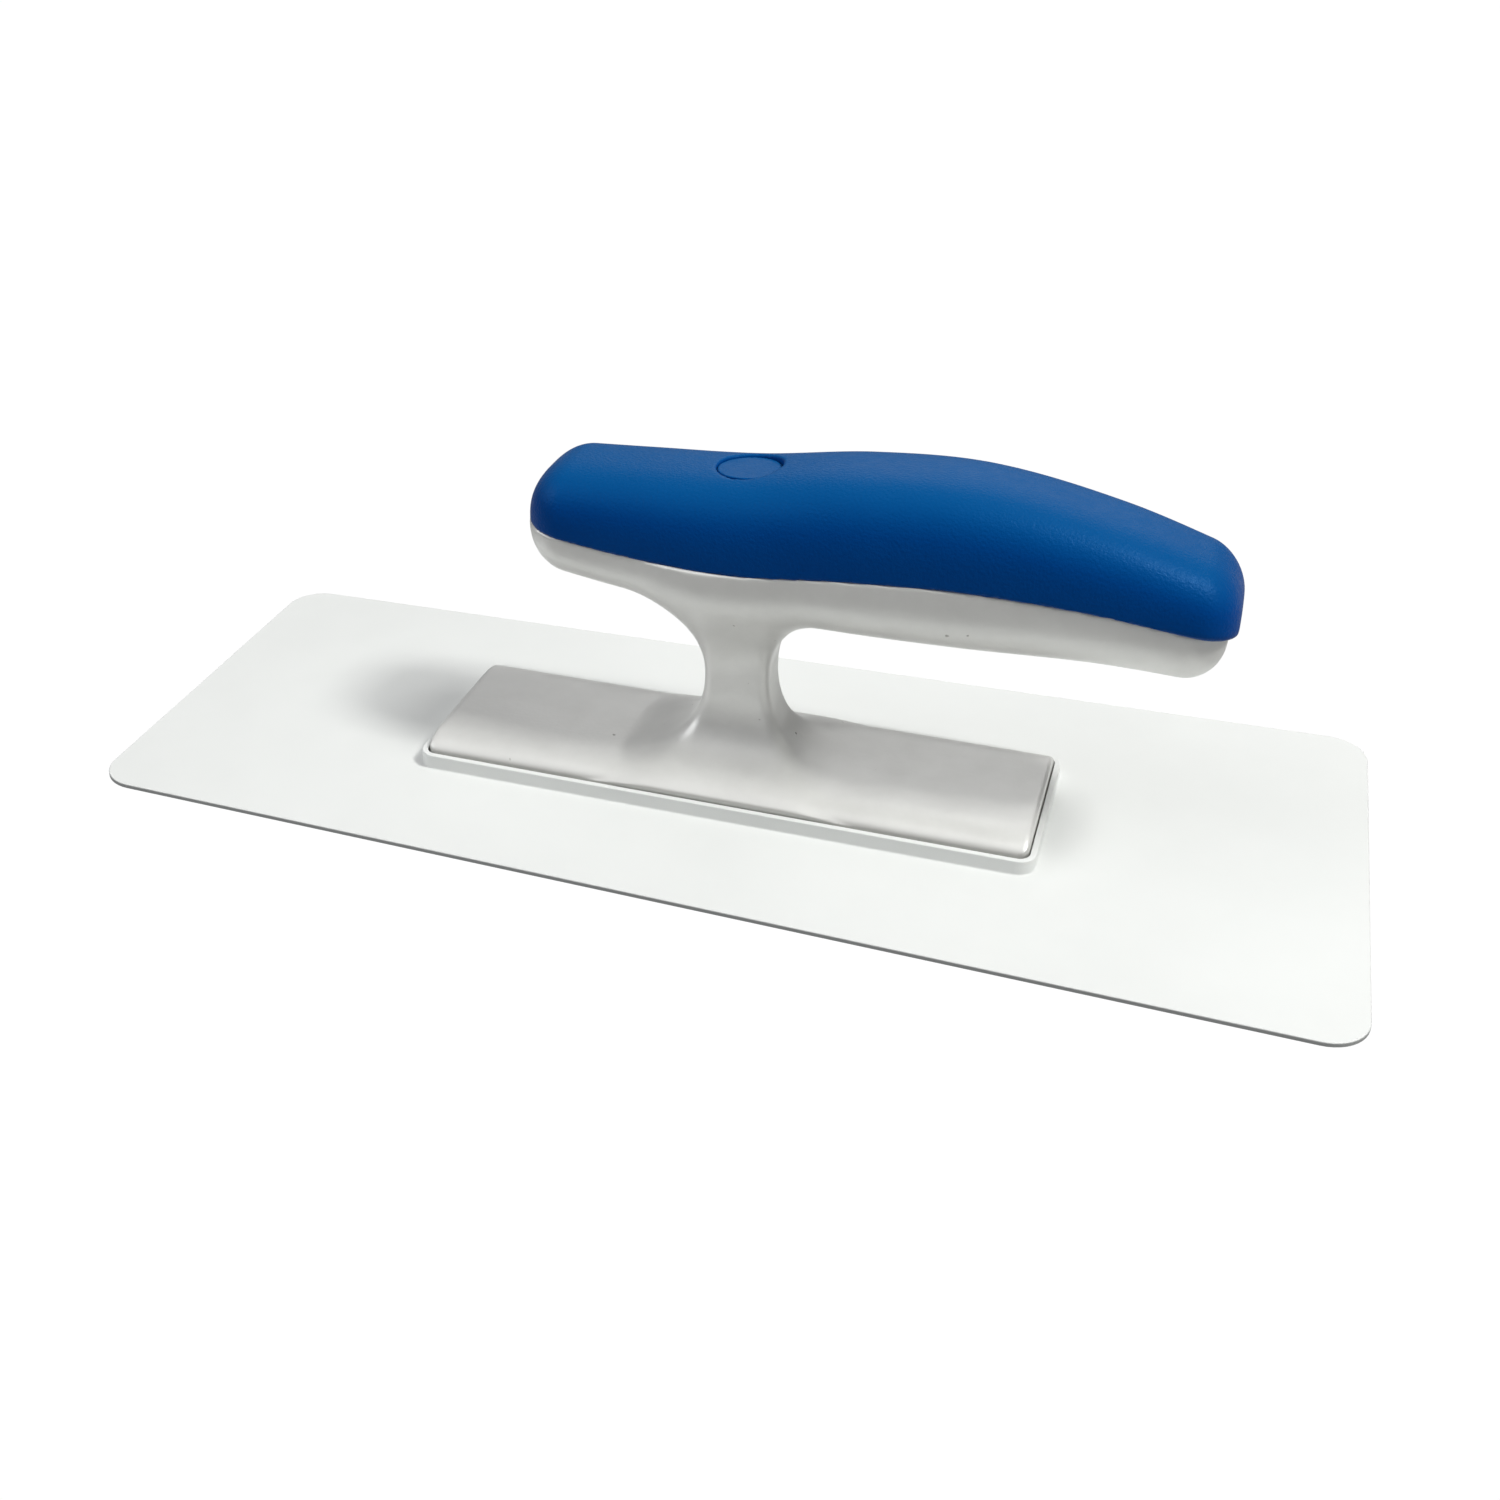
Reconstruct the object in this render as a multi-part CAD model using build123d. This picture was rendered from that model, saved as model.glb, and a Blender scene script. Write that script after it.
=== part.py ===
from build123d import *
import math
import os

# Hand float: a thin plastic blade, a one-piece handle body bonded into the blade's
# raised rim, and a soft cover screwed onto the upper half of the grip.
# Frame: origin at the centre of the blade's working face, X along the blade
# (the wide end at +X), Z up through the neck. Everything is symmetric about Y = 0.
# All sizes are in millimetres.

# ---------------------------------------------------------------- driving sizes
BLADE_LENGTH = 280.0
BLADE_WIDTH_NOSE = 104.0
BLADE_WIDTH_TAIL = 120.0
BLADE_THICKNESS = 1.0
BLADE_CORNER_RADIUS = 9.0
BLADE_EDGE_RADIUS = 0.3

RIM_LENGTH = 143.0
RIM_WIDTH = 47.0
RIM_TOP = 4.5
RIM_WALL = 1.4
RIM_CORNER_RADIUS = 4.0
RIM_BASE_FILLET = 0.4
RIM_EDGE_RADIUS = 0.25

BOND_THICKNESS = 0.4
BOND_MARGIN = 1.5

FOOT_LENGTH = 139.6
FOOT_WIDTH = 43.6
FOOT_SHOULDER_TOP = 6.5
FOOT_CROWN_TOP = 7.8
FOOT_CORNER_RADIUS = 3.0
FOOT_LONG_EDGE_RADIUS = 4.0
FOOT_WALL = 2.6
FOOT_RIB = 2.0
FOOT_POCKET_TOP = 4.6

# Neck: height, half length, half width and corner radius of its sections, with
# the shift of each section's centre towards the nose.
NECK_SECTIONS = (
    (5.0, 30.0, 19.5, 9.0, 0.0),
    (7.6, 19.0, 14.5, 7.0, 0.0),
    (11.5, 12.0, 9.8, 5.0, 0.0),
    (18.0, 8.4, 7.0, 3.4, 0.0),
    (26.0, 7.4, 6.2, 3.0, 0.2),
    (33.0, 8.5, 7.0, 3.4, 0.2),
    (38.5, 11.6, 8.6, 5.0, 0.6),
    (43.0, 17.6, 10.4, 8.0, 1.6),
    (47.0, 24.5, 11.8, 10.5, 2.2),
    (52.0, 28.0, 14.0, 12.0, 3.0),
)

# Grip: distance along X, half width of the cover, half width of the lower shell,
# and the heights of the crest, the seam between the two, and the underside.
GRIP_STATIONS = (
    (-47.6, 15.2, 15.2, 73.6, 61.4, 49.8),
    (-25.0, 16.6, 16.6, 74.9, 59.2, 46.8),
    (0.0, 17.6, 17.6, 76.6, 58.5, 44.6),
    (25.0, 18.0, 18.3, 80.2, 61.0, 43.9),
    (50.0, 17.8, 17.9, 81.0, 62.3, 44.2),
    (78.0, 16.6, 15.8, 76.2, 60.8, 45.1),
    (104.0, 14.6, 13.0, 68.4, 56.6, 43.8),
)
COVER_FULLNESS = 0.77
SHELL_FULLNESS = 0.70
SHELL_END_INSET = 1.7
SEAM_OVERRUN = 8.0
SEAM_MARGIN = 12.0
END_STEPS = 4
MIDDLE_STEPS = 10
COVER_START_RADIUS = 9.5
COVER_END_RADIUS = 8.0
SHELL_START_RADIUS = 9.0
SHELL_END_RADIUS = 8.5

COVER_WALL = 3.4
SHELL_WALL = 3.0
TONGUE_THICKNESS = 1.6
TONGUE_DEPTH = 2.4
TONGUE_ROOT = 1.5
TONGUE_CLEARANCE = 0.2
SHELL_RIB_THICKNESS = 2.0
SHELL_RIB_PLACES = (-24.0, 26.0, 50.0, 74.0)
SHELL_RIB_DROP = 5.0

# Central fixing: plug, screw, washer and threaded insert on the neck's axis.
PLUG_DIAMETER = 13.8
PLUG_THICKNESS = 3.0
PLUG_GAP = 0.25
WELL_DIAMETER = PLUG_DIAMETER + 2 * PLUG_GAP
WELL_LEDGE = 1.2
COVER_BOSS_DIAMETER = WELL_DIAMETER + 5.0
COVER_SEAT_TOP = 65.0
WASHER_DIAMETER = 11.0
WASHER_THICKNESS = 1.0
SCREW_DIAMETER = 5.0
SCREW_HEAD_DIAMETER = 9.0
SCREW_HEAD_HEIGHT = 3.4
SCREW_TIP = 46.0
SCREW_CLEARANCE = 0.4
DRIVE_ACROSS_FLATS = 3.0
DRIVE_DEPTH = 1.8
INSERT_DIAMETER = 7.4
INSERT_LENGTH = 10.0
INSERT_SETBACK = 0.6
SHELL_BOSS_DIAMETER = 15.0

BOND_TOP = BLADE_THICKNESS + BOND_THICKNESS
GRIP_START = GRIP_STATIONS[0][0]
GRIP_END = GRIP_STATIONS[-1][0]
FAR = 300.0
TINY = 0.01
CREST = 3
SEAM = 4


# ------------------------------------------------------------------- the blade
def make_blade():
    half_length = BLADE_LENGTH / 2
    outline = Polyline(
        (-half_length, -BLADE_WIDTH_NOSE / 2),
        (half_length, -BLADE_WIDTH_TAIL / 2),
        (half_length, BLADE_WIDTH_TAIL / 2),
        (-half_length, BLADE_WIDTH_NOSE / 2),
        close=True,
    )
    sheet = extrude(make_face(outline), BLADE_THICKNESS)
    sheet = fillet(sheet.edges().filter_by(Axis.Z), BLADE_CORNER_RADIUS)
    sheet = fillet(sheet.edges().group_by(Axis.Z)[-1], BLADE_EDGE_RADIUS)
    outer = RectangleRounded(RIM_LENGTH, RIM_WIDTH, RIM_CORNER_RADIUS)
    inner = RectangleRounded(
        RIM_LENGTH - 2 * RIM_WALL,
        RIM_WIDTH - 2 * RIM_WALL,
        RIM_CORNER_RADIUS - RIM_WALL,
    )
    wall = extrude(outer - inner, RIM_TOP)
    wall = fillet(wall.edges().group_by(Axis.Z)[-1], RIM_EDGE_RADIUS)
    blade = sheet + wall
    return fillet(rim_base_lines(blade), RIM_BASE_FILLET)


def rim_base_lines(blade):
    """The lines where the rim's two walls meet the sheet."""
    level = blade.edges().filter_by_position(Axis.Z, BLADE_THICKNESS - TINY, BLADE_THICKNESS + TINY)
    return [
        edge
        for edge in level
        if abs(edge.center().X) < RIM_LENGTH / 2 + TINY and abs(edge.center().Y) < RIM_WIDTH / 2 + TINY
    ]


def make_bond_bed():
    bed = RectangleRounded(
        FOOT_LENGTH - 2 * BOND_MARGIN,
        FOOT_WIDTH - 2 * BOND_MARGIN,
        FOOT_CORNER_RADIUS,
    )
    return Pos(0, 0, BLADE_THICKNESS) * extrude(bed, BOND_THICKNESS)


# ------------------------------------------------------------ grip outer shapes
def station_at(x):
    """The grip's sizes at any place along X, by a smooth curve through the stations."""
    places = [station[0] for station in GRIP_STATIONS]
    after = min(max(1, sum(place < x for place in places)), len(places) - 1)
    span = places[after] - places[after - 1]
    t = (x - places[after - 1]) / span

    def value(column):
        low = GRIP_STATIONS[after - 1][column]
        high = GRIP_STATIONS[after][column]
        slope_low = slope_at(after - 1, column) * span
        slope_high = slope_at(after, column) * span
        return (
            (1 + 2 * t) * (1 - t) ** 2 * low
            + t * (1 - t) ** 2 * slope_low
            + t * t * (3 - 2 * t) * high
            + t * t * (t - 1) * slope_high
        )

    return (x,) + tuple(value(column) for column in range(1, len(GRIP_STATIONS[0])))


def slope_at(index, column):
    """Slope of one grip size at a station, taken across its neighbours."""
    before = GRIP_STATIONS[max(index - 1, 0)]
    after = GRIP_STATIONS[min(index + 1, len(GRIP_STATIONS) - 1)]
    return (after[column] - before[column]) / (after[0] - before[0])


def half_section(x, sign, inset):
    """Closed half section of the grip across X: +1 is the upper half, -1 the lower."""
    x, cover_half, shell_half, crest, seam, underside = station_at(x)
    half = (cover_half if sign > 0 else shell_half) - inset
    rise = abs((crest if sign > 0 else underside) - seam) - inset
    fullness = COVER_FULLNESS if sign > 0 else SHELL_FULLNESS
    flank = (half, sign * fullness * rise)
    shoulder = (fullness * half, sign * rise)
    crown = (0, sign * rise)
    arch = [
        Bezier((half, 0), flank, shoulder, crown),
        Bezier(crown, (-shoulder[0], shoulder[1]), (-flank[0], flank[1]), (-half, 0)),
    ]
    run_out = Polyline(
        (half, 0),
        (half, -sign * SEAM_OVERRUN),
        (-half, -sign * SEAM_OVERRUN),
        (-half, 0),
    )
    plane = Plane(origin=(x, 0, seam), x_dir=(0, 1, 0), z_dir=(1, 0, 0))
    return plane * make_face([*arch, run_out])


def rounded_end(end, direction, radius):
    """Places and shrinkages of the sections that round one end of the grip."""
    turns = [math.radians(90 * step / END_STEPS) for step in range(END_STEPS)]
    return [
        (end - direction * radius * (1 - math.cos(turn)), radius * (1 - math.sin(turn)))
        for turn in turns
    ]


def grip_half(sign, end_inset=0.0, inset=0.0):
    """Loft of the upper or lower half of the grip, with rounded ends."""
    start_radius = (COVER_START_RADIUS if sign > 0 else SHELL_START_RADIUS) - inset
    end_radius = (COVER_END_RADIUS if sign > 0 else SHELL_END_RADIUS) - inset
    first = GRIP_START + inset
    last = GRIP_END - end_inset - inset
    straight = last - end_radius - (first + start_radius)
    steps = range(MIDDLE_STEPS + 1)
    places = rounded_end(first, -1, start_radius)
    places += [(first + start_radius + straight * step / MIDDLE_STEPS, 0.0) for step in steps]
    places += reversed(rounded_end(last, 1, end_radius))
    return loft([half_section(x, sign, inset + shrink) for x, shrink in places])


def below_seam(drop=0.0):
    """Everything under the seam surface, lowered by drop, reaching past both grip ends."""
    start_rise = slope_at(0, SEAM) * SEAM_MARGIN
    end_rise = slope_at(len(GRIP_STATIONS) - 1, SEAM) * SEAM_MARGIN
    seam = [(station[0], station[SEAM] - drop) for station in GRIP_STATIONS]
    first = (seam[0][0] - SEAM_MARGIN, seam[0][1] - start_rise)
    last = (seam[-1][0] + SEAM_MARGIN, seam[-1][1] + end_rise)
    seam_curve = Spline([first, *seam, last])
    surround = Polyline(last, (last[0], -SEAM_MARGIN), (first[0], -SEAM_MARGIN), first)
    face = Plane.XZ * make_face([seam_curve, surround])
    return extrude(face, FAR / 2, both=True)


# -------------------------------------------------------------- the handle body
def make_foot():
    half = FOOT_WIDTH / 2
    crown = ThreePointArc((-half, FOOT_SHOULDER_TOP), (0, FOOT_CROWN_TOP), (half, FOOT_SHOULDER_TOP))
    sides = Polyline(
        (half, FOOT_SHOULDER_TOP),
        (half, BOND_TOP),
        (-half, BOND_TOP),
        (-half, FOOT_SHOULDER_TOP),
    )
    foot = extrude(Plane.YZ * make_face([crown, sides]), FOOT_LENGTH / 2, both=True)
    foot = fillet(foot.edges().filter_by(Axis.Z), FOOT_CORNER_RADIUS)
    long_edges = [
        edge
        for edge in foot.edges().filter_by(Axis.X)
        if edge.center().Z > FOOT_SHOULDER_TOP - 0.5
    ]
    return fillet(long_edges, FOOT_LONG_EDGE_RADIUS)


def make_foot_pockets():
    """Two cored pockets in the foot's underside, one each side of the neck."""
    length = FOOT_LENGTH / 2 - FOOT_WALL - NECK_SECTIONS[1][1]
    width = FOOT_WIDTH / 2 - FOOT_WALL - FOOT_RIB / 2
    centre_x = NECK_SECTIONS[1][1] + length / 2
    centre_y = FOOT_RIB / 2 + width / 2
    pocket = extrude(RectangleRounded(length, width, 2.0), FOOT_POCKET_TOP)
    return [
        Pos(side * centre_x, across * centre_y, 0) * pocket
        for side in (-1, 1)
        for across in (-1, 1)
    ]


def make_neck():
    sections = []
    for height, half_length, half_width, radius, shift in NECK_SECTIONS:
        section = RectangleRounded(2 * half_length, 2 * half_width, radius)
        sections.append(Pos(-shift, 0, height) * section)
    return loft(sections)


def make_shell_hollow():
    """The trough inside the lower shell, with the neck boss and cross ribs left in."""
    hollow = grip_half(-1, SHELL_END_INSET, SHELL_WALL)
    hollow -= Cylinder(SHELL_BOSS_DIAMETER / 2, FAR)
    rib_zone = below_seam(SHELL_RIB_DROP)
    for place in SHELL_RIB_PLACES:
        hollow -= Pos(place, 0, 0) * Box(SHELL_RIB_THICKNESS, FAR, FAR) & rib_zone
    return hollow


def make_handle_body():
    shell = grip_half(-1, SHELL_END_INSET)
    shell &= below_seam()
    body = make_foot() + make_neck() + shell
    body -= make_shell_hollow()
    for pocket in make_foot_pockets():
        body -= pocket
    body -= Pos(0, 0, insert_top() - INSERT_LENGTH) * from_here_up(INSERT_DIAMETER / 2)
    return body - Pos(0, 0, SCREW_TIP - 1) * from_here_up(SCREW_DIAMETER / 2 + SCREW_CLEARANCE)


# ----------------------------------------------------------------- the cover
def make_grip_cover():
    outer = grip_half(1)
    hollow = grip_half(1, inset=COVER_WALL)
    boss = Cylinder(COVER_BOSS_DIAMETER / 2, FAR)
    cover = outer - below_seam() - (hollow - boss)
    cover += make_tongue()
    cover -= Pos(0, 0, COVER_SEAT_TOP) * from_here_up(WELL_DIAMETER / 2 - WELL_LEDGE)
    cover -= Pos(0, 0, plug_seat()) * from_here_up(WELL_DIAMETER / 2)
    return cover - Cylinder(SCREW_DIAMETER / 2 + SCREW_CLEARANCE, FAR)


def make_tongue():
    """The locating tongue that drops from the cover inside the lower shell's wall."""
    gap = SHELL_WALL + TONGUE_CLEARANCE
    outer = grip_half(-1, SHELL_END_INSET, gap)
    inner = grip_half(-1, SHELL_END_INSET, gap + TONGUE_THICKNESS)
    strip = (outer & below_seam(-TONGUE_ROOT)) - below_seam(TONGUE_DEPTH)
    return strip - inner


def from_here_up(radius):
    return Cylinder(radius, FAR, align=(Align.CENTER, Align.CENTER, Align.MIN))


def plug_seat():
    """Height of the ledge that the plug rests on."""
    return station_at(0)[CREST] - PLUG_THICKNESS


def make_grip_plug():
    seat = Pos(0, 0, plug_seat()) * from_here_up(PLUG_DIAMETER / 2)
    return seat & grip_half(1)


# ------------------------------------------------------------- central fixing
def make_washer():
    hole = SCREW_DIAMETER / 2 + SCREW_CLEARANCE
    ring = Circle(WASHER_DIAMETER / 2) - Circle(hole)
    return Pos(0, 0, COVER_SEAT_TOP) * extrude(ring, WASHER_THICKNESS)


def make_screw():
    head_base = COVER_SEAT_TOP + WASHER_THICKNESS
    head = Cylinder(SCREW_HEAD_DIAMETER / 2, SCREW_HEAD_HEIGHT, align=(Align.CENTER, Align.CENTER, Align.MIN))
    head = fillet(head.edges().group_by(Axis.Z)[-1], SCREW_HEAD_HEIGHT / 3)
    drive = extrude(RegularPolygon(DRIVE_ACROSS_FLATS / 2, 6, major_radius=False), DRIVE_DEPTH)
    head = Pos(0, 0, head_base) * (head - Pos(0, 0, SCREW_HEAD_HEIGHT - DRIVE_DEPTH) * drive)
    length = head_base - SCREW_TIP
    shank = Cylinder(SCREW_DIAMETER / 2, length, align=(Align.CENTER, Align.CENTER, Align.MIN))
    shank = chamfer(shank.edges().group_by(Axis.Z)[0], SCREW_DIAMETER / 8)
    return head + Pos(0, 0, SCREW_TIP) * shank


def insert_top():
    """The insert stops just short of the seam."""
    return station_at(0)[SEAM] - INSERT_SETBACK


def make_insert():
    ring = Circle(INSERT_DIAMETER / 2) - Circle(SCREW_DIAMETER / 2)
    return Pos(0, 0, insert_top() - INSERT_LENGTH) * extrude(ring, INSERT_LENGTH)


# --------------------------------------------------------------------- output
def main():
    nodes = {
        "blade": make_blade(),
        "bond_bed": make_bond_bed(),
        "handle_body": make_handle_body(),
        "grip_cover": make_grip_cover(),
        "grip_plug": make_grip_plug(),
        "cover_screw": make_screw(),
        "screw_washer": make_washer(),
        "threaded_insert": make_insert(),
    }
    os.makedirs("parts", exist_ok=True)
    for name, shape in nodes.items():
        export_step(shape, f"parts/{name}.step")


main()
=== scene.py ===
import math

import bpy
import numpy as np
from mathutils import Matrix, Vector


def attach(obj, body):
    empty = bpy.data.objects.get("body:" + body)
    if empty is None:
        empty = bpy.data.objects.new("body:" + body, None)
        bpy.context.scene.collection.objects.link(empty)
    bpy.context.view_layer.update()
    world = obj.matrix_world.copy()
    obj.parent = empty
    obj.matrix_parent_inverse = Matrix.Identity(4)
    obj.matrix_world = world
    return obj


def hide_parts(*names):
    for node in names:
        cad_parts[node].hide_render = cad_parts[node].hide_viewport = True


MM = 0.001

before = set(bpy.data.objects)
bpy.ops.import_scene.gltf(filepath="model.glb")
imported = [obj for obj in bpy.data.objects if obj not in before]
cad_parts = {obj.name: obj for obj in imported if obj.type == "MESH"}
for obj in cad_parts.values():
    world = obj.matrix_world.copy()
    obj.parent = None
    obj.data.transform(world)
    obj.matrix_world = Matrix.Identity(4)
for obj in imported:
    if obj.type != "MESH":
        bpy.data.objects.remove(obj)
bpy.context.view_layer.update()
scene = bpy.context.scene

# Camera: its place in metres, its turn in degrees, its sensor and lens in millimetres.
CAMERA_PLACE = (93.1 * MM, -351.2 * MM, 224.2 * MM)
CAMERA_AZIMUTH = 17.79
CAMERA_ELEVATION = 31.07
CAMERA_ROLL = 0.47
SENSOR = 36.0
LENS = 43.71
LENS_SHIFT = 0.06
CLIP_START = 10 * MM


# ------------------------------------------------------------ driving sizes
# Millimetres, in the frame's axes: X from nose to tail, Z up, origin in the working face.
FOOT_LENGTH = 139.8
FOOT_WIDTH = 43.8
FOOT_BASE = 1.4
FOOT_TOP = 7.7
FOOT_CROWN = 0.3
FOOT_LONG_EDGE_DEPTH = 4.3
FOOT_LONG_EDGE_WIDTH = 9.0
FOOT_LONG_EDGE_POWER = 2.2
FOOT_END_EDGE_RADIUS = 1.2
FOOT_CORNER_RADIUS = 3.0
FOOT_WALL = 2.6
FOOT_RIB = 2.0
FOOT_POCKET_TOP = 4.6
FOOT_POCKET_START = 19.0
FOOT_POCKET_CORNER = 2.0

NECK_HALF_LENGTH_NOSE = 7.8
NECK_HALF_LENGTH_TAIL = 7.2
NECK_HALF_WIDTH = 6.0
NECK_EDGE_RADIUS = 2.6
NECK_EDGE_GROWTH = 0.35
NECK_FLARE_NOSE = 22.0
NECK_FLARE_TAIL = 24.0
NECK_FLARE_SIDES = 17.5
NECK_FLARE_BASE = 4.0
NECK_FOOT_BLEND = 9.0
NECK_GRIP_BLEND_NOSE = 19.0
NECK_GRIP_BLEND_TAIL = 14.0
NECK_BLEND_SPAN = 4 * NECK_HALF_LENGTH_TAIL
NECK_TOP = 25.0

# One row for each place along X. The columns after X are named below.
GRIP_STATIONS = np.array((
    (-47.6, 15.3, 15.2, 73.6, 61.4, 49.8),
    (-25.0, 16.8, 16.6, 74.9, 59.2, 46.8),
    (0.0, 17.8, 17.6, 76.6, 58.5, 44.6),
    (25.0, 18.2, 18.2, 80.2, 61.0, 43.9),
    (50.0, 18.0, 17.9, 81.0, 62.3, 44.2),
    (78.0, 16.6, 15.8, 76.2, 60.8, 45.1),
    (104.0, 14.6, 13.0, 68.4, 56.6, 43.8),
))
COVER_HALF_WIDTH, SHELL_HALF_WIDTH, CREST, SEAM, UNDERSIDE = range(1, 6)
GRIP_START = -47.6
COVER = {
    "half": COVER_HALF_WIDTH,
    "tip": CREST,
    "end": 104.0,
    "start_radius": 9.5,
    "end_radius": 8.0,
    "roundness": 2.92,
}
SHELL = {
    "half": SHELL_HALF_WIDTH,
    "tip": UNDERSIDE,
    "end": 102.3,
    "start_radius": 9.0,
    "end_radius": 8.5,
    "roundness": 2.56,
}
COVER_WALL = 3.4
COVER_LIP_RADIUS = 0.25
COVER_LIP_RADIUS_TAIL = 1.8
COVER_LIP_GROWTH = 20.0
SHELL_WALL = 3.0
SHELL_LIP_RADIUS = 0.25
SHELL_RIB_PLACES = (-24.0, 26.0, 50.0, 74.0)
SHELL_RIB = 2.0
SHELL_RIB_DROP = 5.0
SHELL_BOSS_RADIUS = 7.5
INSERT_RADIUS = 3.7
INSERT_BASE = 47.9
TONGUE_THICKNESS = 1.6
TONGUE_DEPTH = 2.4
TONGUE_CLEARANCE = 0.2

PLUG_RADIUS = 6.95
PLUG_EDGE_RADIUS = 0.25
PLUG_SEAT = 73.6
PLUG_TOP = 75.9
PLUG_RISE_TO_TAIL = 0.06
PLUG_FALL_TO_BACK = 0.045
WELL_RADIUS = 7.15
WELL_LIP_RADIUS = 0.4
WELL_LEDGE = 1.2
SCREW_SEAT = 65.0
SCREW_HOLE_RADIUS = 2.9
COVER_BOSS_RADIUS = 9.95

# The grids that the three surfaces are meshed on.
GRID_MARGIN = 2.0
BODY_CELL = 0.6
BODY_GRID_TOP = 65.0
COVER_CELL = 0.53
COVER_GRID_HALF_WIDTH = 20.0
COVER_GRID_BASE = 50.0
COVER_GRID_TOP = 83.0
PLUG_CELL = 0.205
PLUG_GRID_MARGIN = 1.0
PLUG_GRID_HEIGHT = 5.0

# Guards against dividing by nearly nothing, and the steps of the settling.
LEAST_LEVEL = 0.05
LEAST_SLOPE = 0.02
STEEPEST_FLARE = 0.995
SETTLE_ROUNDS = 3
PROBES_PER_CELL = 20
LEAST_SLOPE_SQUARED = 0.2
LONGEST_MOVE = 0.4

# Linear colours. A pair is the two ends of a slight mottling.
SHEET = ((0.80, 0.815, 0.805), (0.775, 0.79, 0.78))
# Painted shade: the grey given to the sheet's thin upright edge faces.
SHEET_EDGE_PAINTED_SHADE = (0.42, 0.43, 0.43)
COAT = ((0.86, 0.86, 0.84), (0.81, 0.81, 0.79))
# Painted shade for the steep faces of the body low down by the rim.
COAT_PAINTED_SHADE_BY_RIM = (0.48, 0.48, 0.46)
COAT_PIT = (0.45, 0.44, 0.42)
BLUE = ((0.0001, 0.056, 0.262), (0.0001, 0.050, 0.246))
# Painted light: the paler blue for faces that turn up, standing in for light reflected from above.
BLUE_PAINTED_TOP_LIGHT = ((0.0004, 0.085, 0.272), (0.0004, 0.080, 0.260))
BLUE_SHEEN = (0.15, 0.5, 1.0)
GLUE = ((0.70, 0.68, 0.60), (0.60, 0.58, 0.50))
ZINC = (0.62, 0.63, 0.65)
BRASS = (0.78, 0.58, 0.28)
METAL_STREAK = 0.85
FLOOR_BOUNCE = ((0.30, 0.30, 0.30), (0.27, 0.27, 0.27))

# Floor in metres, and the brightness of floor and backdrop to the camera and to all else.
FLOOR_SIZE = 40.0
FLOOR_DROP = 0.02 * MM
BACKDROP = 1.02
WORLD_LIGHT = 0.19

# Square lights aimed at the origin: name, place and side in metres, power in watts, colour.
LIGHTS = (
    ("key", (1.0, -0.16, 1.35), 0.25, 14.2, (1.0, 1.0, 0.97)),
    ("key_high", (0.75, 0.0, 1.45), 0.25, 6.6, (1.0, 1.0, 0.98)),
    ("overhead", (0.0, -0.1, 1.3), 1.3, 3.3, (1.0, 1.0, 1.0)),
    ("left_fill", (-1.2, -0.5, 0.9), 1.0, 6.9, (0.97, 0.98, 1.0)),
    ("back", (0.0, 1.1, 0.8), 1.0, 2.2, (1.0, 1.0, 1.0)),
)


# ------------------------------------------------------------ distance fields
def smooth_step(value):
    """0 below 0, 1 above 1 and a smooth rise between."""
    t = np.clip(value, 0, 1)
    return t * t * (3 - 2 * t)


def round_union(first, second, radius):
    """Union of two distance fields with a fillet of the given radius."""
    near_first = np.maximum(radius - first, 0)
    near_second = np.maximum(radius - second, 0)
    return np.maximum(radius, np.minimum(first, second)) - np.hypot(near_first, near_second)


def round_cut(first, second, radius):
    """Intersection of two distance fields with an edge of the given radius."""
    near_first = np.maximum(radius + first, 0)
    near_second = np.maximum(radius + second, 0)
    return np.minimum(-radius, np.maximum(first, second)) + np.hypot(near_first, near_second)


def rounded_rectangle(x, y, half_length, half_width, radius):
    """Distance to a rectangle about the origin with rounded corners."""
    along = np.abs(x) - half_length + radius
    across = np.abs(y) - half_width + radius
    outside = np.hypot(np.maximum(along, 0), np.maximum(across, 0))
    return outside + np.minimum(np.maximum(along, across), 0) - radius


def round_quarter(across, up, width, height, power):
    """Distance to a superellipse arch of the given half width and height."""
    side = np.abs(across) / width
    rise = np.maximum(up, 0) / height
    level = np.maximum((side**power + rise**power) ** (1 / power), LEAST_LEVEL)
    slope_side = (side / level) ** (power - 1) / width
    slope_rise = (rise / level) ** (power - 1) / height
    return (level - 1) / np.maximum(np.hypot(slope_side, slope_rise), LEAST_SLOPE)


# ------------------------------------------------------------- foot and neck
def foot_field(x, y, z):
    """The foot: nearly flat on top, with wide rounded long edges and small end edges."""
    half = FOOT_WIDTH / 2
    beyond_flat = np.maximum(np.abs(y) - half + FOOT_LONG_EDGE_WIDTH, 0)
    above_edge = z + FOOT_CROWN * (y / half) ** 2 - FOOT_TOP + FOOT_LONG_EDGE_DEPTH
    width, depth = FOOT_LONG_EDGE_WIDTH, FOOT_LONG_EDGE_DEPTH
    top = round_quarter(beyond_flat, above_edge, width, depth, FOOT_LONG_EDGE_POWER)
    ends = round_cut(top, np.abs(x) - FOOT_LENGTH / 2, FOOT_END_EDGE_RADIUS)
    plan = rounded_rectangle(x, y, FOOT_LENGTH / 2, half, FOOT_CORNER_RADIUS)
    return np.maximum(np.maximum(ends, plan), FOOT_BASE - z)


def foot_pocket_field(x, y, z):
    """The four cored pockets in the underside, two each side of the neck."""
    half_length = (FOOT_LENGTH / 2 - FOOT_WALL - FOOT_POCKET_START) / 2
    half_width = (FOOT_WIDTH / 2 - FOOT_WALL - FOOT_RIB / 2) / 2
    from_centre = np.abs(x) - FOOT_POCKET_START - half_length
    from_rib = np.abs(y) - FOOT_RIB / 2 - half_width
    plan = rounded_rectangle(from_centre, from_rib, half_length, half_width, FOOT_POCKET_CORNER)
    return np.maximum(plan, z - FOOT_POCKET_TOP)


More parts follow.
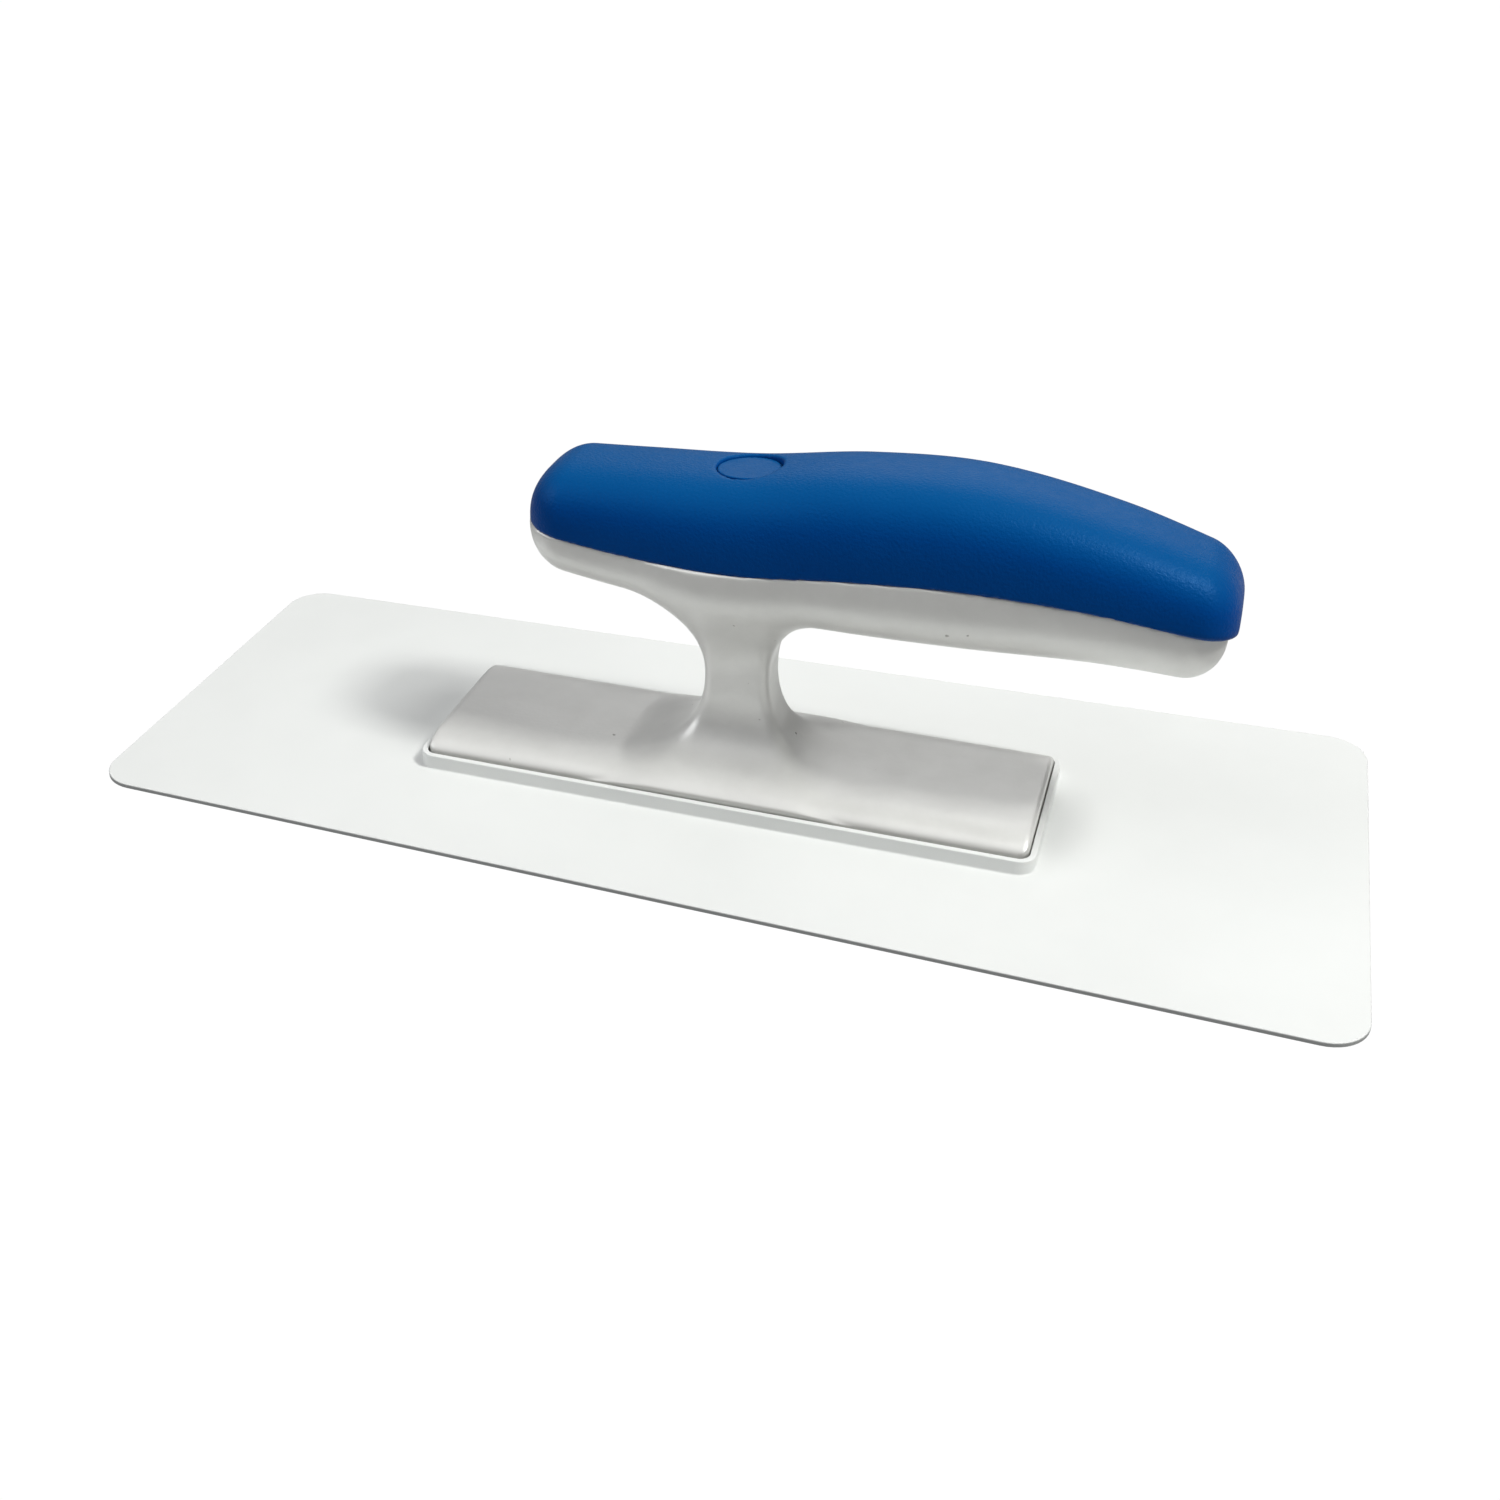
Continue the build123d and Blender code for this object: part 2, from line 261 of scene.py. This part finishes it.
def flare(z, radius):
    """How far one neck face has swung out at height z, along a quarter circle."""
    drop = np.clip(NECK_FLARE_BASE + radius - z, 0, STEEPEST_FLARE * radius)
    return radius - np.sqrt(radius**2 - drop**2)


def neck_field(x, y, z):
    """Four-sided neck whose faces flare towards the foot and keep their corners."""
    nose = NECK_HALF_LENGTH_NOSE + flare(z, NECK_FLARE_NOSE)
    tail = NECK_HALF_LENGTH_TAIL + flare(z, NECK_FLARE_TAIL)
    side = flare(z, NECK_FLARE_SIDES)
    middle = (tail - nose) / 2
    corner = NECK_EDGE_RADIUS + NECK_EDGE_GROWTH * side
    return rounded_rectangle(x - middle, y, (tail + nose) / 2, NECK_HALF_WIDTH + side, corner)


# ----------------------------------------------------------------------- grip
def station_curve(x, column):
    """One grip size along X: a smooth curve through its stations."""
    places = GRIP_STATIONS[:, 0]
    values = GRIP_STATIONS[:, column]
    slopes = np.empty(len(places))
    slopes[1:-1] = (values[2:] - values[:-2]) / (places[2:] - places[:-2])
    slopes[0] = (values[1] - values[0]) / (places[1] - places[0])
    slopes[-1] = (values[-1] - values[-2]) / (places[-1] - places[-2])
    after = np.clip(np.searchsorted(places, x), 1, len(places) - 1)
    span = places[after] - places[after - 1]
    t = np.clip((x - places[after - 1]) / span, 0, 1)
    from_last = (1 + 2 * t) * (1 - t) ** 2 * values[after - 1]
    from_last = from_last + t * (1 - t) ** 2 * slopes[after - 1] * span
    to_next = t * t * (3 - 2 * t) * values[after] + t * t * (t - 1) * slopes[after] * span
    return from_last + to_next


def grip_field(x, y, z, part, inset=0.0):
    """One half of the grip, continued straight on past the seam."""
    first = GRIP_START + inset
    last = part["end"] - inset
    start_radius = part["start_radius"] - inset
    end_radius = part["end_radius"] - inset
    into_start = np.clip(start_radius - (x - first), 0, start_radius)
    into_end = np.clip(end_radius - (last - x), 0, end_radius)
    shrink = start_radius - np.sqrt(start_radius**2 - into_start**2)
    shrink = shrink + end_radius - np.sqrt(end_radius**2 - into_end**2)
    seam = station_curve(x, SEAM)
    tip = station_curve(x, part["tip"])
    away = (z - seam) * np.sign(tip - seam)
    half = station_curve(x, part["half"]) - inset - shrink
    section = round_quarter(y, away, half, np.abs(tip - seam) - inset - shrink, part["roundness"])
    beyond = np.maximum(first - x, x - last)
    return np.where(beyond > 0, np.hypot(beyond, np.maximum(section, 0)), section)


def shell_hollow_field(x, y, z):
    """The trough inside the shell, with the central boss and the cross ribs left in."""
    hollow = grip_field(x, y, z, SHELL, SHELL_WALL)
    hollow = np.maximum(hollow, SHELL_BOSS_RADIUS - np.hypot(x, y))
    below_rib = z - station_curve(x, SEAM) + SHELL_RIB_DROP
    for place in SHELL_RIB_PLACES:
        rib = np.maximum(np.abs(x - place) - SHELL_RIB / 2, below_rib)
        hollow = np.maximum(hollow, -rib)
    return hollow


def handle_body_field(x, y, z):
    """The one-piece body: foot, neck and the lower half of the grip."""
    nose_side = smooth_step(0.5 - x / NECK_BLEND_SPAN)
    grip_blend = NECK_GRIP_BLEND_TAIL + (NECK_GRIP_BLEND_NOSE - NECK_GRIP_BLEND_TAIL) * nose_side
    solid = round_union(neck_field(x, y, z), grip_field(x, y, z, SHELL), grip_blend)
    solid = round_union(solid, foot_field(x, y, z), NECK_FOOT_BLEND)
    plan = rounded_rectangle(x, y, FOOT_LENGTH / 2, FOOT_WIDTH / 2, FOOT_CORNER_RADIUS)
    solid = np.where(z < NECK_TOP, np.maximum(solid, plan), solid)
    solid = np.maximum(solid, -shell_hollow_field(x, y, z))
    solid = np.maximum(solid, -foot_pocket_field(x, y, z))
    bore = np.maximum(np.hypot(x, y) - INSERT_RADIUS, INSERT_BASE - z)
    solid = np.maximum(solid, -bore)
    above_seam = z - station_curve(x, SEAM)
    return np.maximum(round_cut(solid, above_seam, SHELL_LIP_RADIUS), FOOT_BASE - z)


def grip_cover_field(x, y, z):
    """The upper half of the grip: a thick shell with a boss, a plug well and a tongue."""
    from_axis = np.hypot(x, y)
    seam = station_curve(x, SEAM)
    outer = grip_field(x, y, z, COVER)
    hollow = np.maximum(grip_field(x, y, z, COVER, COVER_WALL), COVER_BOSS_RADIUS - from_axis)
    to_tail = smooth_step(1 + (x - COVER["end"]) / COVER_LIP_GROWTH)
    lip_radius = COVER_LIP_RADIUS + (COVER_LIP_RADIUS_TAIL - COVER_LIP_RADIUS) * to_tail
    cover = np.maximum(round_cut(outer, seam - z, lip_radius), -hollow)
    gap = SHELL_WALL + TONGUE_CLEARANCE
    tongue = grip_field(x, y, z, SHELL, gap)
    tongue = np.maximum(tongue, -grip_field(x, y, z, SHELL, gap + TONGUE_THICKNESS))
    tongue = np.maximum(tongue, np.abs(z - seam) - TONGUE_DEPTH)
    cover = np.minimum(cover, tongue)
    well = np.maximum(from_axis - WELL_RADIUS, PLUG_SEAT - z)
    cover = round_cut(cover, -well, WELL_LIP_RADIUS)
    screw_room = np.maximum(from_axis - WELL_RADIUS + WELL_LEDGE, SCREW_SEAT - z)
    return np.maximum(np.maximum(cover, -screw_room), SCREW_HOLE_RADIUS - from_axis)


def grip_plug_field(x, y, z):
    """The flat round plug: flush at the front of its well, a little deep at the back and tail."""
    top = z - PLUG_TOP - PLUG_RISE_TO_TAIL * x + PLUG_FALL_TO_BACK * y
    side = np.hypot(x, y) - PLUG_RADIUS
    return np.maximum(round_cut(top, side, PLUG_EDGE_RADIUS), PLUG_SEAT - z)


# ------------------------------------------------------------ fields to meshes
def cell_crossings(values, active, shape):
    """Mean place, in cell units, of the sign changes along the edges of each active cell."""
    total = np.zeros((active.sum(), 3))
    count = np.zeros(active.sum())
    corners = {
        (i, j, k): values[i : i + shape[0], j : j + shape[1], k : k + shape[2]][active]
        for i in (0, 1)
        for j in (0, 1)
        for k in (0, 1)
    }
    for start, a in corners.items():
        for axis in range(3):
            if start[axis]:
                continue
            end = tuple(step + (n == axis) for n, step in enumerate(start))
            b = corners[end]
            cross = (a < 0) != (b < 0)
            part = np.where(cross, a / np.where(cross, a - b, 1), 0)
            place = np.array(start) + part[:, None] * np.eye(3)[axis]
            total += np.where(cross[:, None], place, 0)
            count += cross
    return total / count[:, None]


def grid_quads(values, index):
    """One quad for each grid edge that crosses the surface, wound to face outwards."""
    quads = []
    for axis, first, second in ((0, 1, 2), (1, 2, 0), (2, 0, 1)):
        near = [slice(1, -1)] * 3
        near[axis] = slice(0, -1)
        far = list(near)
        far[axis] = slice(1, None)
        here = values[tuple(near)] < 0
        there = values[tuple(far)] < 0
        for mask, order in ((here & ~there, 1), (there & ~here, -1)):
            base = np.argwhere(mask)
            base[:, (first, second)] += 1
            ring = []
            for back_first, back_second in ((1, 1), (0, 1), (0, 0), (1, 0))[::order]:
                cell = base.copy()
                cell[:, first] -= back_first
                cell[:, second] -= back_second
                ring.append(index[tuple(cell.T)])
            quads.append(np.stack(ring, 1))
    return np.concatenate(quads)


def settle(field, points, cell):
    """Moves points along the field's slope onto its zero surface."""
    step = cell / PROBES_PER_CELL
    for _ in range(SETTLE_ROUNDS):
        slope = np.empty_like(points)
        for n in range(3):
            shift = step * np.eye(3)[n]
            slope[:, n] = (field(*(points + shift).T) - field(*(points - shift).T)) / (2 * step)
        size = np.maximum((slope**2).sum(1), LEAST_SLOPE_SQUARED)
        move = -(field(*points.T) / size)[:, None] * slope
        length = np.maximum(np.linalg.norm(move, axis=1), 1e-9)
        points = points + move * np.minimum(1, LONGEST_MOVE * cell / length)[:, None]
    return points


def surface_mesh(name, field, low, high, cell):
    """A smooth-shaded object on the zero surface of a field, between two corners."""
    axes = [np.arange(start, end + cell, cell) for start, end in zip(low, high)]
    values = field(*np.meshgrid(*axes, indexing="ij"))
    shape = np.array(values.shape) - 1
    inside = np.zeros(shape, np.int8)
    for i, j, k in np.ndindex(2, 2, 2):
        inside += values[i : i + shape[0], j : j + shape[1], k : k + shape[2]] < 0
    active = (inside > 0) & (inside < 8)
    index = np.full(shape, -1)
    index[active] = np.arange(active.sum())
    points = np.array(low) + (np.argwhere(active) + cell_crossings(values, active, shape)) * cell
    points = settle(field, points, cell)
    mesh = bpy.data.meshes.new(name)
    mesh.from_pydata((points * MM).tolist(), [], grid_quads(values, index).tolist())
    mesh.polygons.foreach_set("use_smooth", np.ones(len(mesh.polygons), bool))
    mesh.update()
    piece = bpy.data.objects.new(name, mesh)
    scene.collection.objects.link(piece)
    return piece


def replace_node(node, material, piece):
    """Gives a piece its material and shows it in place of one CAD node."""
    piece.data.materials.append(material)
    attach(piece, "root")
    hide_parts(node)


def make_handle_body(material):
    half_width = FOOT_WIDTH / 2 + GRID_MARGIN
    low = (-FOOT_LENGTH / 2 - GRID_MARGIN, -half_width, FOOT_BASE - GRID_MARGIN)
    high = (COVER["end"] + GRID_MARGIN, half_width, BODY_GRID_TOP)
    body = surface_mesh("handle_casting", handle_body_field, low, high, BODY_CELL)
    replace_node("handle_body", material, body)


def make_grip_cover(material):
    low = (GRIP_START - GRID_MARGIN, -COVER_GRID_HALF_WIDTH, COVER_GRID_BASE)
    high = (COVER["end"] + GRID_MARGIN, COVER_GRID_HALF_WIDTH, COVER_GRID_TOP)
    cover = surface_mesh("grip_upper", grip_cover_field, low, high, COVER_CELL)
    replace_node("grip_cover", material, cover)


def make_grip_plug(material):
    reach = PLUG_RADIUS + PLUG_GRID_MARGIN
    low = (-reach, -reach, PLUG_SEAT - PLUG_GRID_MARGIN)
    high = (reach, reach, PLUG_SEAT + PLUG_GRID_HEIGHT)
    plug = surface_mesh("grip_button", grip_plug_field, low, high, PLUG_CELL)
    replace_node("grip_plug", material, plug)


# ------------------------------------------------------------------ materials
def new_material(name):
    """A material with an empty node tree apart from its output and a Principled BSDF."""
    material = bpy.data.materials.new(name)
    material.use_nodes = True
    tree = material.node_tree
    tree.nodes.clear()
    output = tree.nodes.new("ShaderNodeOutputMaterial")
    shader = tree.nodes.new("ShaderNodeBsdfPrincipled")
    tree.links.new(shader.outputs["BSDF"], output.inputs["Surface"])
    return material, tree, shader


def noise(tree, scale, detail=3.0, roughness=0.5, stretch=(1.0, 1.0, 1.0)):
    """Noise in the object's own metres; scale is waves per metre."""
    place = tree.nodes.new("ShaderNodeTexCoord")
    mapping = tree.nodes.new("ShaderNodeMapping")
    mapping.inputs["Scale"].default_value = stretch
    texture = tree.nodes.new("ShaderNodeTexNoise")
    texture.inputs["Scale"].default_value = scale
    texture.inputs["Detail"].default_value = detail
    texture.inputs["Roughness"].default_value = roughness
    tree.links.new(place.outputs["Object"], mapping.inputs["Vector"])
    tree.links.new(mapping.outputs["Vector"], texture.inputs["Vector"])
    return texture.outputs["Fac"]


def ramp(tree, value, low, high, low_value=0.0, high_value=1.0):
    """Maps low..high of a value to low_value..high_value, clamped."""
    node = tree.nodes.new("ShaderNodeMapRange")
    node.inputs["From Min"].default_value = low
    node.inputs["From Max"].default_value = high
    node.inputs["To Min"].default_value = low_value
    node.inputs["To Max"].default_value = high_value
    tree.links.new(value, node.inputs["Value"])
    return node.outputs["Result"]


def mix_colour(tree, factor, first, second):
    """Mixes two colours, each a tuple or another node's output."""
    node = tree.nodes.new("ShaderNodeMix")
    node.data_type = "RGBA"
    tree.links.new(factor, node.inputs["Factor"])
    for socket, colour in ((node.inputs["A"], first), (node.inputs["B"], second)):
        if isinstance(colour, tuple):
            socket.default_value = (*colour, 1.0)
        else:
            tree.links.new(colour, socket)
    return node.outputs["Result"]


def bump(tree, height, distance, strength=1.0, under=None):
    """A bumped normal, on top of another one where that is given."""
    node = tree.nodes.new("ShaderNodeBump")
    node.inputs["Distance"].default_value = distance
    node.inputs["Strength"].default_value = strength
    tree.links.new(height, node.inputs["Height"])
    if under is not None:
        tree.links.new(under, node.inputs["Normal"])
    return node.outputs["Normal"]


def surface_axis(tree, source, axis):
    """One component of the surface's Position or Normal, in the frame's axes."""
    geometry = tree.nodes.new("ShaderNodeNewGeometry")
    split = tree.nodes.new("ShaderNodeSeparateXYZ")
    tree.links.new(geometry.outputs[source], split.inputs["Vector"])
    return split.outputs[axis]


def multiply(tree, first, second):
    node = tree.nodes.new("ShaderNodeMath")
    node.operation = "MULTIPLY"
    tree.links.new(first, node.inputs[0])
    tree.links.new(second, node.inputs[1])
    return node.outputs["Value"]


def white_plastic():
    """Semi-matt white sheet with faint clouding, and painted shade greying its thin upright edge faces.
    """
    material, tree, shader = new_material("white_plastic")
    clouds = ramp(tree, noise(tree, 14.0, 4.0, 0.6), 0.40, 0.66)
    face = mix_colour(tree, clouds, *SHEET)
    # Painted shade: faces low down that do not face up are greyed, standing in for the shadow along the
    # sheet's edge.
    low_down = ramp(tree, surface_axis(tree, "Position", "Z"), 0.9 * MM, 1.0 * MM, 1.0, 0.0)
    upright = ramp(tree, surface_axis(tree, "Normal", "Z"), 0.3, 0.8, 1.0, 0.0)
    colour = mix_colour(tree, multiply(tree, low_down, upright), face, SHEET_EDGE_PAINTED_SHADE)
    tree.links.new(colour, shader.inputs["Base Color"])
    tree.links.new(ramp(tree, noise(tree, 60.0), 0.3, 0.7, 0.42, 0.52), shader.inputs["Roughness"])
    grain = bump(tree, noise(tree, 2600.0, 2.0), 0.02 * MM, 0.5)
    tree.links.new(grain, shader.inputs["Normal"])
    return material


def grey_body():
    """Satin pale grey with painted shade low down by the rim, slight mottling, fine grain and tiny pits.
    """
    material, tree, shader = new_material("grey_body")
    mottle = ramp(tree, noise(tree, 90.0, 5.0, 0.6), 0.35, 0.7)
    coat = mix_colour(tree, mottle, *COAT)
    # Painted shade: steep faces between 4.6 and 7 mm up are darkened, standing in for shade just above
    # the rim.
    rim_shade_mask = ramp(tree, surface_axis(tree, "Position", "Z"), 4.6 * MM, 7.0 * MM, 1.0, 0.0)
    upright = ramp(tree, surface_axis(tree, "Normal", "Z"), 0.55, 0.9, 1.0, 0.0)
    coat = mix_colour(tree, multiply(tree, rim_shade_mask, upright), coat, COAT_PAINTED_SHADE_BY_RIM)
    pits = ramp(tree, noise(tree, 420.0, 1.0), 0.785, 0.815)
    tree.links.new(mix_colour(tree, pits, coat, COAT_PIT), shader.inputs["Base Color"])
    tree.links.new(ramp(tree, noise(tree, 220.0), 0.3, 0.7, 0.33, 0.42), shader.inputs["Roughness"])
    shader.inputs["Metallic"].default_value = 0.35
    grain = bump(tree, noise(tree, 900.0, 3.0), 0.06 * MM, 0.6)
    sunk = bump(tree, pits, -0.10 * MM, 0.8, grain)
    tree.links.new(sunk, shader.inputs["Normal"])
    return material


def blue_soft_plastic():
    """Soft plastic, deep blue, with painted light making it a little paler where it faces up, and a fine
    grain.
    """
    material, tree, shader = new_material("blue_soft_plastic")
    # Painted light: faces that turn up are coloured paler, standing in for light reflected from above.
    painted_top_light_mask = ramp(tree, surface_axis(tree, "Normal", "Z"), 0.3, 1.05)
    drift = ramp(tree, noise(tree, 40.0, 3.0), 0.3, 0.7)
    deep = mix_colour(tree, drift, *BLUE)
    pale = mix_colour(tree, drift, *BLUE_PAINTED_TOP_LIGHT)
    tree.links.new(mix_colour(tree, painted_top_light_mask, deep, pale), shader.inputs["Base Color"])
    tree.links.new(ramp(tree, noise(tree, 500.0, 3.0), 0.3, 0.7, 0.30, 0.42), shader.inputs["Roughness"])
    shader.inputs["Specular IOR Level"].default_value = 0.12
    shader.inputs["Specular Tint"].default_value = (*BLUE_SHEEN, 1.0)
    grain = bump(tree, noise(tree, 1600.0, 3.0), 0.13 * MM, 1.0)
    tree.links.new(grain, shader.inputs["Normal"])
    return material


def metal(name, colour, roughness):
    """Bare metal with upright streaks a little darker than its colour."""
    material, tree, shader = new_material(name)
    streaks = ramp(tree, noise(tree, 300.0, 3.0, stretch=(1.0, 1.0, 0.1)), 0.3, 0.7)
    darker = tuple(METAL_STREAK * part for part in colour)
    tree.links.new(mix_colour(tree, streaks, colour, darker), shader.inputs["Base Color"])
    shader.inputs["Metallic"].default_value = 1.0
    shader.inputs["Roughness"].default_value = roughness
    return material


def adhesive():
    """Yellowish glue with slight blotches."""
    material, tree, shader = new_material("clear_adhesive")
    blobs = ramp(tree, noise(tree, 200.0), 0.3, 0.7)
    tree.links.new(mix_colour(tree, blobs, *GLUE), shader.inputs["Base Color"])
    shader.inputs["Roughness"].default_value = 0.3
    return material


# ------------------------------------------------------------------ CAD nodes
def dress(node, material):
    """Gives a CAD node that stays as it is its material."""
    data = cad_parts[node].data
    data.materials.clear()
    data.materials.append(material)


white = white_plastic()
grey = grey_body()
blue = blue_soft_plastic()
zinc = metal("zinc_steel", ZINC, 0.3)
brass = metal("brass", BRASS, 0.28)
dress("blade", white)
dress("bond_bed", adhesive())
make_handle_body(grey)
make_grip_cover(blue)
make_grip_plug(blue)
dress("cover_screw", zinc)
dress("screw_washer", zinc)
dress("threaded_insert", brass)


# -------------------------------------------------------- floor, light, camera
def make_floor():
    """A plain white floor: pure white to the camera, a soft bounce to everything else."""
    bpy.ops.mesh.primitive_plane_add(size=FLOOR_SIZE, location=(0, 0, -FLOOR_DROP))
    floor = bpy.context.object
    floor.name = "floor"
    material, tree, shader = new_material("floor")
    faint = ramp(tree, noise(tree, 2.0), 0.3, 0.7)
    tree.links.new(mix_colour(tree, faint, *FLOOR_BOUNCE), shader.inputs["Base Color"])
    shader.inputs["Roughness"].default_value = 0.9
    glow = tree.nodes.new("ShaderNodeEmission")
    glow.inputs["Strength"].default_value = BACKDROP
    ray = tree.nodes.new("ShaderNodeLightPath")
    choice = tree.nodes.new("ShaderNodeMixShader")
    output = next(node for node in tree.nodes if node.type == "OUTPUT_MATERIAL")
    tree.links.new(ray.outputs["Is Camera Ray"], choice.inputs["Fac"])
    tree.links.new(shader.outputs["BSDF"], choice.inputs[1])
    tree.links.new(glow.outputs["Emission"], choice.inputs[2])
    tree.links.new(choice.outputs["Shader"], output.inputs["Surface"])
    floor.data.materials.append(material)


def square_light(name, place, side, power, colour):
    data = bpy.data.lights.new(name, "AREA")
    data.shape = "SQUARE"
    data.size = side
    data.energy = power
    data.color = colour
    light = bpy.data.objects.new(name, data)
    scene.collection.objects.link(light)
    light.location = place
    light.rotation_euler = (-Vector(place)).to_track_quat("-Z", "Y").to_euler()


def make_world():
    """A white backdrop to the camera, and a weak even light to everything else."""
    world = bpy.data.worlds.new("studio")
    world.use_nodes = True
    tree = world.node_tree
    background = tree.nodes["Background"]
    background.inputs["Color"].default_value = (1.0, 1.0, 1.0, 1.0)
    ray = tree.nodes.new("ShaderNodeLightPath")
    seen = ramp(tree, ray.outputs["Is Camera Ray"], 0.0, 1.0, WORLD_LIGHT, BACKDROP)
    tree.links.new(seen, background.inputs["Strength"])
    scene.world = world


def make_camera():
    """The camera, aimed by azimuth and elevation and turned a little about its own axis."""
    azimuth = math.radians(CAMERA_AZIMUTH)
    elevation = math.radians(CAMERA_ELEVATION)
    forward = Vector((
        -math.sin(azimuth) * math.cos(elevation),
        math.cos(azimuth) * math.cos(elevation),
        -math.sin(elevation),
    ))
    data = bpy.data.cameras.new("camera")
    data.sensor_width = SENSOR
    data.lens = LENS
    data.shift_x = LENS_SHIFT
    data.clip_start = CLIP_START
    camera = bpy.data.objects.new("camera", data)
    scene.collection.objects.link(camera)
    roll = Matrix.Rotation(math.radians(CAMERA_ROLL), 3, "Z")
    turn = forward.to_track_quat("-Z", "Y").to_matrix() @ roll
    camera.matrix_world = Matrix.Translation(CAMERA_PLACE) @ turn.to_4x4()
    scene.camera = camera


make_floor()
make_world()
for light in LIGHTS:
    square_light(*light)
make_camera()
scene.view_settings.view_transform = "Standard"
